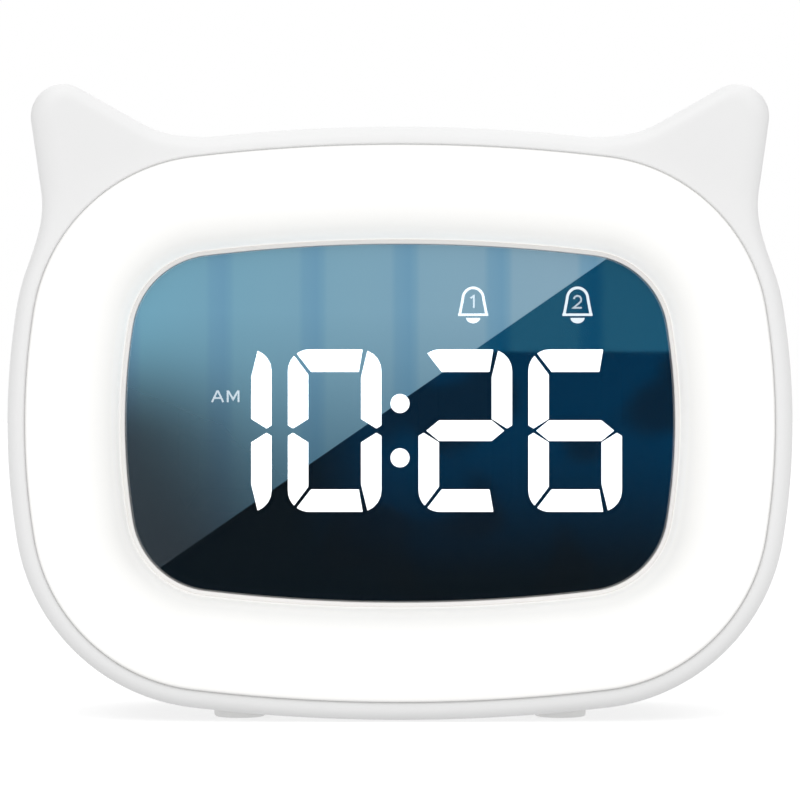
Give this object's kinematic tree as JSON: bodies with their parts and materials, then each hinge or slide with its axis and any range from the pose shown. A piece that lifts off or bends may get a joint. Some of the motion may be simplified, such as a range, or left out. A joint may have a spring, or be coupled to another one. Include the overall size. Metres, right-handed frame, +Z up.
{
  "type": "alarm clock",
  "caption": "Cat-eared bedside alarm clock: mirror display with seven-segment time in a glowing night light ring, keys and speaker grille behind, snooze button on top.",
  "frame": {"origin": "centre of the whole clock's box, on the surface it stands on", "axes": "+Z up, the face looks towards -Y, +X to the right of someone who reads the clock"},
  "size_m": [0.135, 0.05, 0.1097],
  "materials": {
    "housing_plastic": "smooth satin ABS",
    "glow_plastic": "milky light diffusing plastic",
    "lip_plastic": "satin pale grey plastic",
    "mirror_lens": "tinted half mirror, polished",
    "reflector_plastic": "matt black",
    "segment_resin": "white light diffusing resin",
    "circuit_board": "green solder mask",
    "light_circuit_board": "white solder mask",
    "led_resin": "phosphor resin",
    "frame_plastic": "plain moulded ABS",
    "chip_plastic": "black moulding compound",
    "switch_plastic": "black plastic",
    "key_plastic": "satin pale grey plastic",
    "port_steel": "plated steel",
    "speaker_steel": "zinc plated steel",
    "speaker_paper": "black coated paper",
    "foam": "dark foam",
    "battery_wrap": "silver pouch film",
    "screw_steel": "zinc plated",
    "foot_silicone": "soft pale grey silicone",
    "red_lead_jacket": "red insulation",
    "pale_lead_jacket": "pale insulation"
  },
  "bodies": {
    "clock": {"front_housing": "housing_plastic", "light_diffuser": "glow_plastic", "screen_frame": "lip_plastic", "mirror_lens": "mirror_lens", "display_reflector": "reflector_plastic", "hour_tens_digit": "segment_resin", "hour_units_digit": "segment_resin", "minute_tens_digit": "segment_resin", "minute_units_digit": "segment_resin", "colon_dots": "segment_resin", "display_board": "circuit_board", "inner_frame": "frame_plastic", "light_board": "light_circuit_board", "night_leds": "led_resin", "snooze_switch": "switch_plastic", "snooze_board": "circuit_board", "main_board": "circuit_board", "board_chips": "chip_plastic", "key_switches": "switch_plastic", "charging_port": "port_steel", "speaker_gasket": "foam", "speaker_frame": "speaker_steel", "speaker_cone": "speaker_paper", "speaker_magnet": "speaker_steel", "battery_pad": "foam", "battery_cell": "battery_wrap", "battery_lead": "red_lead_jacket", "speaker_lead": "pale_lead_jacket", "light_lead": "pale_lead_jacket", "snooze_lead": "pale_lead_jacket", "display_ribbon": "pale_lead_jacket", "back_cover": "housing_plastic", "cover_screws": "screw_steel", "board_screws": "screw_steel", "foot_pads": "foot_silicone"},
    "set_body": {"set_key": "key_plastic", "set_stem": "switch_plastic"},
    "alarm_body": {"alarm_key": "key_plastic", "alarm_stem": "switch_plastic"},
    "up_body": {"up_key": "key_plastic", "up_stem": "switch_plastic"},
    "down_body": {"down_key": "key_plastic", "down_stem": "switch_plastic"},
    "light_body": {"light_key": "key_plastic", "light_stem": "switch_plastic"},
    "snooze_body": {"snooze_button": "housing_plastic", "snooze_stem": "switch_plastic"}
  },
  "joints": [
    {"name": "set_press", "type": "slide", "parent": "clock", "child": "set_body", "axis": [0, -1, 0], "range_m": [0, 0.0006], "stiffness_N_per_m": 400},
    {"name": "alarm_press", "type": "slide", "parent": "clock", "child": "alarm_body", "axis": [0, -1, 0], "range_m": [0, 0.0006], "stiffness_N_per_m": 400},
    {"name": "up_press", "type": "slide", "parent": "clock", "child": "up_body", "axis": [0, -1, 0], "range_m": [0, 0.0006], "stiffness_N_per_m": 400},
    {"name": "down_press", "type": "slide", "parent": "clock", "child": "down_body", "axis": [0, -1, 0], "range_m": [0, 0.0006], "stiffness_N_per_m": 400},
    {"name": "light_press", "type": "slide", "parent": "clock", "child": "light_body", "axis": [0, -1, 0], "range_m": [0, 0.0006], "stiffness_N_per_m": 400},
    {"name": "snooze_press", "type": "slide", "parent": "clock", "child": "snooze_body", "axis": [0, 0, -1], "range_m": [0, 0.0008], "stiffness_N_per_m": 400}
  ]
}
